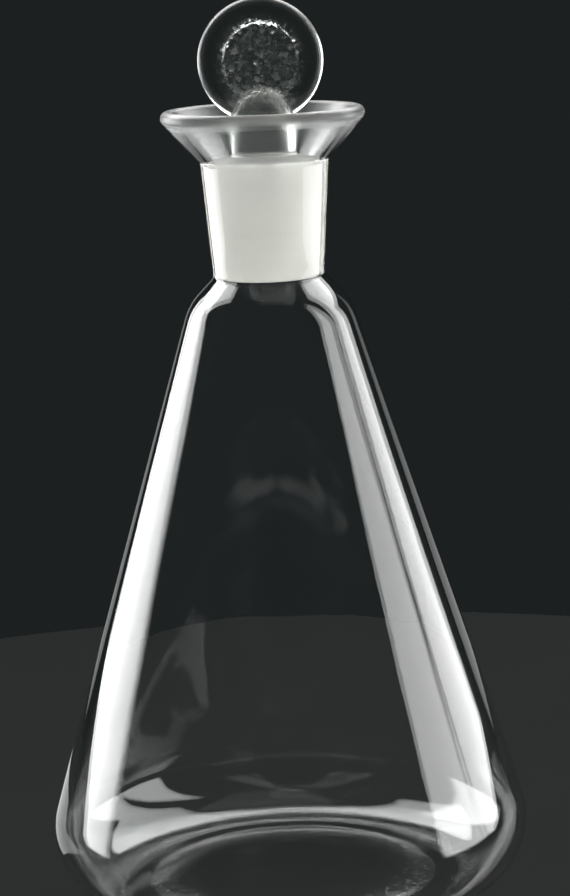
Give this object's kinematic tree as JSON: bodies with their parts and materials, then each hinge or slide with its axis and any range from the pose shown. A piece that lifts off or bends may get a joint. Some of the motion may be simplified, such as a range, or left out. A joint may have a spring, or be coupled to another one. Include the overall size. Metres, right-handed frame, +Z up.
{
  "type": "erlenmeyer flask",
  "caption": "Clear glass conical flask with a frosted ground-glass neck, a flared collar and a solid stopper with a flat round head that lifts out.",
  "frame": {"origin": "middle of the base, on the plane of the flat foot ring", "axes": "+Z up along the neck's axis, X across the stopper's flat round head, Y through its thickness"},
  "size_m": [0.105, 0.105, 0.196],
  "materials": {
    "clear_glass": "fire-polished and clear, with a fine-ground frosted band inside the neck",
    "pressed_glass": "pressed solid glass with a fine-ground frosted plug"
  },
  "bodies": {
    "flask": {"flask": "clear_glass"},
    "stopper": {"stopper": "pressed_glass"}
  },
  "joints": [
    {"name": "stopper_lift", "type": "slide", "parent": "flask", "child": "stopper", "axis": [0, 0, 1], "range_m": [0, 0.06]}
  ]
}
